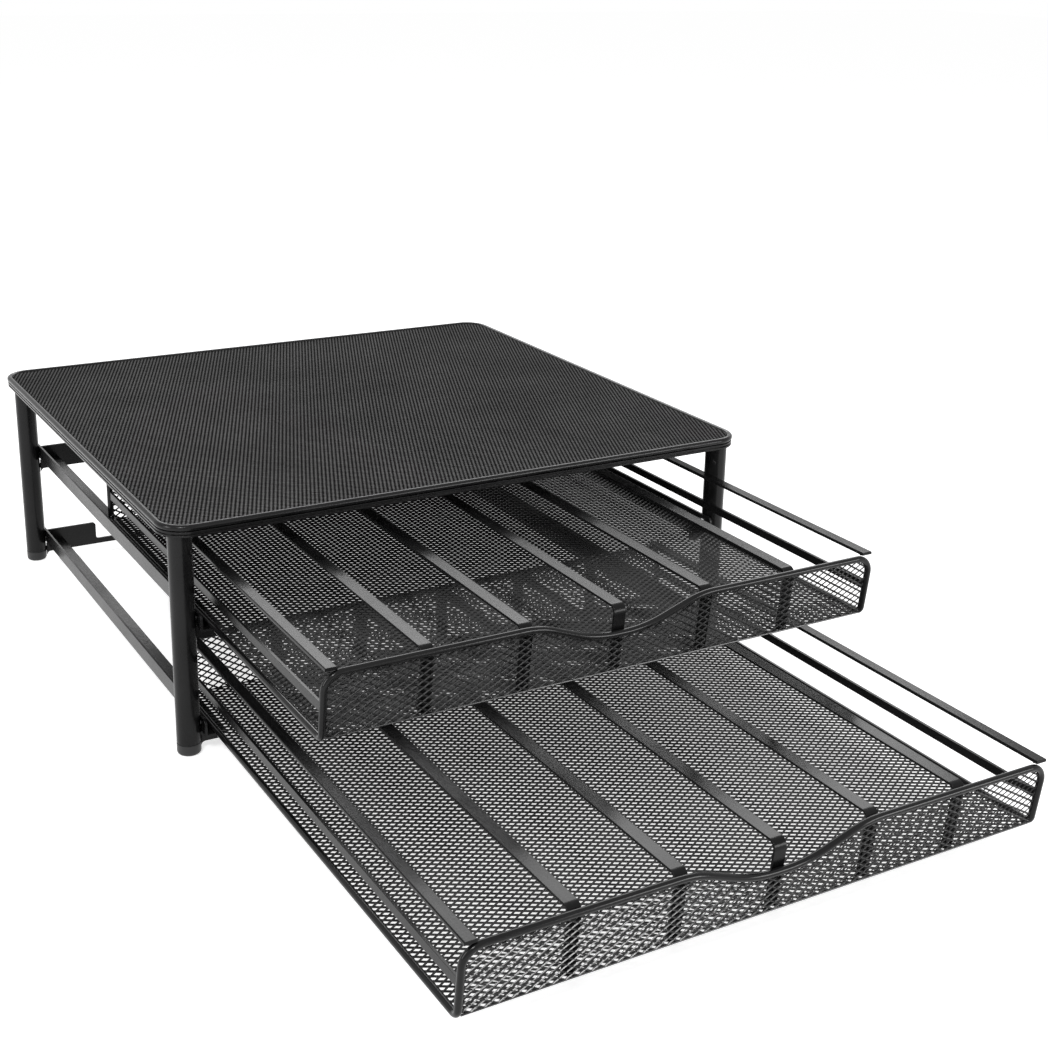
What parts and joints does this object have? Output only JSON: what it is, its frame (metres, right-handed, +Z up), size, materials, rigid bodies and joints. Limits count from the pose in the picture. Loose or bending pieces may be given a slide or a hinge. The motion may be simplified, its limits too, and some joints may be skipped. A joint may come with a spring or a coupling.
{
  "type": "coffee pod drawer",
  "caption": "Flat platform on round tube legs, with wire-and-mesh drawers that slide on angle rails under it and hold coffee pods in columns.",
  "frame": {"origin": "middle of the bounding box of the part as stored, drawers drawn out, on the surface that its feet stand on", "axes": "+Z up, +X to the right of someone who faces the drawers, +Y to the back, so the drawers open towards -Y"},
  "size_m": [0.356, 0.6078, 0.13],
  "materials": {
    "frame_coat": "black powder coat, satin",
    "panel_coat": "dark grey powder coat on finely embossed sheet",
    "wire_coat": "black powder coat, semi-gloss",
    "mesh_coat": "black powder coat on expanded sheet",
    "strip_coat": "black powder coat, satin",
    "foot_plastic": "moulded black plastic, satin",
    "screw_steel": "plain steel"
  },
  "bodies": {
    "stand": {"top_panel": "panel_coat", "top_rim": "frame_coat", "top_band": "frame_coat", "leg_front_left": "frame_coat", "foot_front_left": "foot_plastic", "screws_front_left": "screw_steel", "leg_front_right": "frame_coat", "foot_front_right": "foot_plastic", "screws_front_right": "screw_steel", "leg_rear_left": "frame_coat", "foot_rear_left": "foot_plastic", "screws_rear_left": "screw_steel", "leg_rear_right": "frame_coat", "foot_rear_right": "foot_plastic", "screws_rear_right": "screw_steel", "stop_bar_lower": "frame_coat", "rail_lower_left": "frame_coat", "bracket_lower_left": "frame_coat", "rail_lower_right": "frame_coat", "bracket_lower_right": "frame_coat", "stop_bar_upper": "frame_coat", "rail_upper_left": "frame_coat", "bracket_upper_left": "frame_coat", "rail_upper_right": "frame_coat", "bracket_upper_right": "frame_coat"},
    "upper_drawer": {"upper_front_hoop": "wire_coat", "upper_rear_hoop": "wire_coat", "upper_mesh_front": "mesh_coat", "upper_mesh_floor": "mesh_coat", "upper_mesh_rear": "mesh_coat", "upper_side_wire_left": "wire_coat", "upper_top_bar_left": "strip_coat", "upper_mid_bar_left": "strip_coat", "upper_side_wire_right": "wire_coat", "upper_top_bar_right": "strip_coat", "upper_mid_bar_right": "strip_coat", "upper_divider_1": "strip_coat", "upper_divider_2": "strip_coat", "upper_divider_3": "strip_coat", "upper_divider_4": "strip_coat", "upper_divider_5": "strip_coat"},
    "lower_drawer": {"lower_front_hoop": "wire_coat", "lower_rear_hoop": "wire_coat", "lower_mesh_front": "mesh_coat", "lower_mesh_floor": "mesh_coat", "lower_mesh_rear": "mesh_coat", "lower_side_wire_left": "wire_coat", "lower_top_bar_left": "strip_coat", "lower_mid_bar_left": "strip_coat", "lower_side_wire_right": "wire_coat", "lower_top_bar_right": "strip_coat", "lower_mid_bar_right": "strip_coat", "lower_divider_1": "strip_coat", "lower_divider_2": "strip_coat", "lower_divider_3": "strip_coat", "lower_divider_4": "strip_coat", "lower_divider_5": "strip_coat"}
  },
  "joints": [
    {"name": "upper_drawer_slide", "type": "slide", "parent": "stand", "child": "upper_drawer", "axis": [0, -1, 0], "range_m": [-0.141, 0.134]},
    {"name": "lower_drawer_slide", "type": "slide", "parent": "stand", "child": "lower_drawer", "axis": [0, -1, 0], "range_m": [-0.27, 0.005]}
  ]
}
